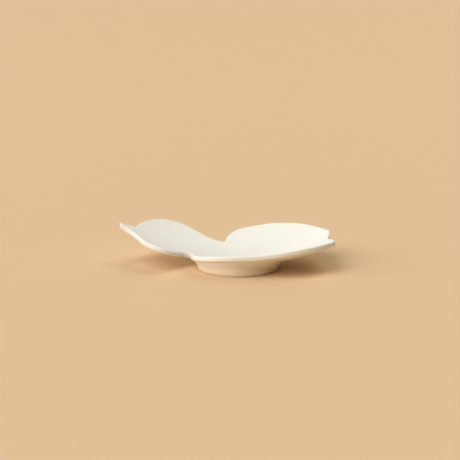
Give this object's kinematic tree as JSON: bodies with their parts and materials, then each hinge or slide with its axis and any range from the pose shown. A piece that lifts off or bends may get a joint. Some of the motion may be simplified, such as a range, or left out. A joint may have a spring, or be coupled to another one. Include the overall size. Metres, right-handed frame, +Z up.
{
  "type": "saucer",
  "caption": "Small bird-shaped ceramic condiment saucer: a shallow oval bowl trimmed to a bird with beak and notched tail, on a round foot ring.",
  "frame": {"origin": "middle of the footprint's box, on the table", "axes": "+X along the bird from beak to tail, +Y towards the back edge, +Z up out of the bowl"},
  "size_m": [0.1012, 0.056, 0.0195],
  "materials": {
    "clay_body": "fired, unglazed, matte",
    "slip": "fired slip, matte",
    "glaze": "satin warm white glaze"
  },
  "bodies": {
    "root": {"dish_body": "clay_body", "foot_ring": "clay_body", "luting_slip": "slip", "glaze_face": "glaze", "glaze_back": "glaze", "glaze_foot": "glaze", "glaze_well": "glaze"}
  },
  "joints": []
}
